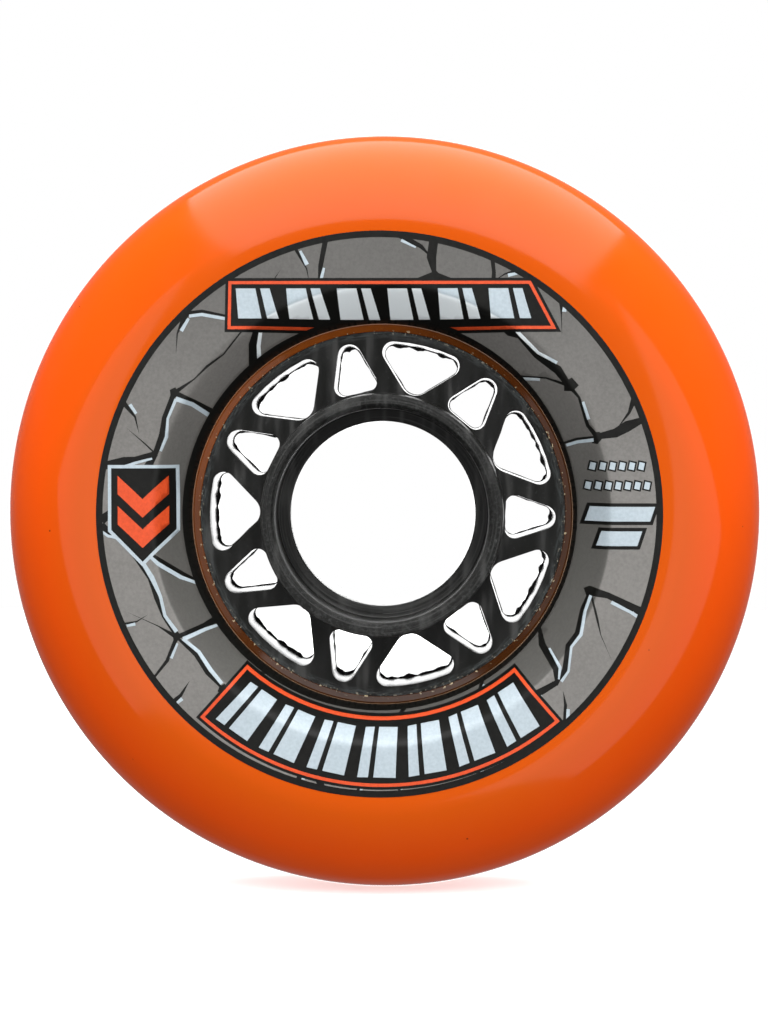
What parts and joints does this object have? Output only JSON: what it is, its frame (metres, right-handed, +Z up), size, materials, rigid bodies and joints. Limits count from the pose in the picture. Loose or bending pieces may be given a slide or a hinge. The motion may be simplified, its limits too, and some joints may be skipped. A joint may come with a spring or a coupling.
{
  "type": "inline skate wheel",
  "caption": "Inline skate wheel: urethane tyre cast on a spoked nylon hub with a bearing seat in each side.",
  "frame": {"origin": "centre of the wheel, on its axle line, midway between its two sides", "axes": "+Y along the axle towards the back side, so the front side looks towards -Y; +Z up through the tread, +X to the right seen from the front"},
  "size_m": [0.08, 0.024, 0.08],
  "materials": {
    "nylon": "black moulded nylon, satin, with flow streaks and turned marks round the boss",
    "urethane": "orange cast urethane, smooth and glossy, slightly see-through where it is thin",
    "ink_grey": "grey pad-printed ink, satin",
    "ink_black": "black pad-printed ink, satin",
    "ink_silver": "pale silver pad-printed ink, satin",
    "ink_orange": "burnt orange pad-printed ink, satin"
  },
  "bodies": {
    "root": {"hub": "nylon", "tyre": "urethane", "print_front": "ink_grey", "print_back": "ink_grey"}
  },
  "joints": []
}
